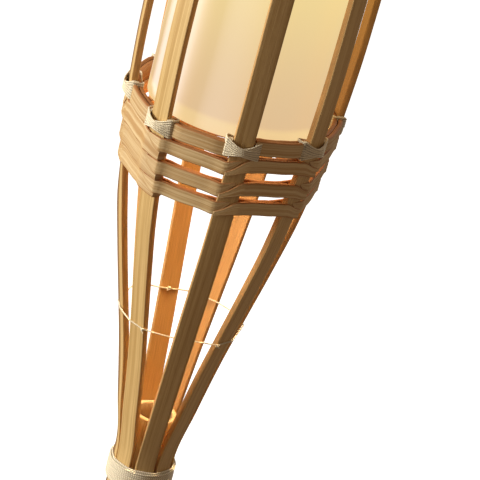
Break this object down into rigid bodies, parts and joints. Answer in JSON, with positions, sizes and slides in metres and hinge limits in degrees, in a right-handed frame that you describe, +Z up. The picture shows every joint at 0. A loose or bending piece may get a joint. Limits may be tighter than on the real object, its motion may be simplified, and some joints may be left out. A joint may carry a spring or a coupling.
{
  "type": "tiki torch",
  "caption": "Garden torch: a bamboo pole whose bound slats flare into a woven basket, holding a frosted solar lantern that lifts out.",
  "frame": {"origin": "on the pole's axis at the top of its slanting point, where the full round foot begins", "axes": "+Z up the pole towards the lantern, -Y the front that carries the push button, +X to the right of the front"},
  "size_m": [0.128, 0.1282, 0.9962],
  "materials": {
    "bamboo_pole": "dried bamboo culm, satin skin",
    "bamboo_slat": "split bamboo, fibrous, warm tan",
    "bamboo_splint": "thin bamboo splint, pale tan with fine fibres",
    "cotton_string": "unbleached cotton cord",
    "opal_plastic": "frosted, glows warm from inside",
    "opal_base": "white opal plastic, glows warm",
    "cap_plastic": "fine-grained dark brown moulding",
    "seal_rubber": "matte black rubber",
    "screw_steel": "zinc-plated steel",
    "solar_cells": "dark blue cells under clear resin",
    "lead_wire": "red insulated wire",
    "circuit_board": "green solder mask",
    "led_lens": "clear warm-white lens, lit",
    "white_plastic": "white moulding",
    "battery_wrap": "plain blue shrink wrap",
    "contact_steel": "nickel-plated spring steel",
    "switch_plastic": "black moulding",
    "button_plastic": "dark red moulding"
  },
  "bodies": {
    "stand": {"pole": "bamboo_pole", "slat_1": "bamboo_slat", "slat_2": "bamboo_slat", "slat_3": "bamboo_slat", "slat_4": "bamboo_slat", "slat_5": "bamboo_slat", "slat_6": "bamboo_slat", "slat_7": "bamboo_slat", "slat_8": "bamboo_slat", "lower_row_1": "bamboo_splint", "lower_row_2": "bamboo_splint", "lower_row_3": "bamboo_splint", "lower_row_4": "bamboo_splint", "upper_row_1": "bamboo_splint", "upper_row_2": "bamboo_splint", "upper_row_3": "bamboo_splint", "lower_lashings": "cotton_string", "upper_lashings": "cotton_string", "mid_twine": "cotton_string", "neck_binding": "cotton_string", "tail_binding": "cotton_string"},
    "lantern": {"cap_housing": "cap_plastic", "cap_lid": "cap_plastic", "lid_seal": "seal_rubber", "cap_screws": "screw_steel", "solar_panel": "solar_cells", "panel_leads": "lead_wire", "circuit_board": "circuit_board", "board_screws": "screw_steel", "led": "led_lens", "reflector": "white_plastic", "battery": "battery_wrap", "battery_contacts": "contact_steel", "switch_body": "switch_plastic"},
    "diffuser": {"diffuser_tube": "opal_plastic", "diffuser_base": "opal_base"},
    "button": {"switch_button": "button_plastic"},
    "door": {"battery_door": "cap_plastic", "door_screw": "screw_steel"}
  },
  "joints": [
    {"name": "lantern_lift", "type": "slide", "parent": "stand", "child": "lantern", "axis": [0, 0, 1], "range_m": [0, 0.175]},
    {"name": "diffuser_twist", "type": "hinge", "parent": "lantern", "child": "diffuser", "pos_m": [0, 0, 0.9], "axis": [0, 0, 1], "range_deg": [0, 20]},
    {"name": "button_press", "type": "slide", "parent": "lantern", "child": "button", "axis": [0, 0, -1], "range_m": [0, 0.0015], "stiffness_N_per_m": 300},
    {"name": "door_release", "type": "slide", "parent": "lantern", "child": "door", "axis": [0, 0, -1], "range_m": [0, 0.025]}
  ]
}
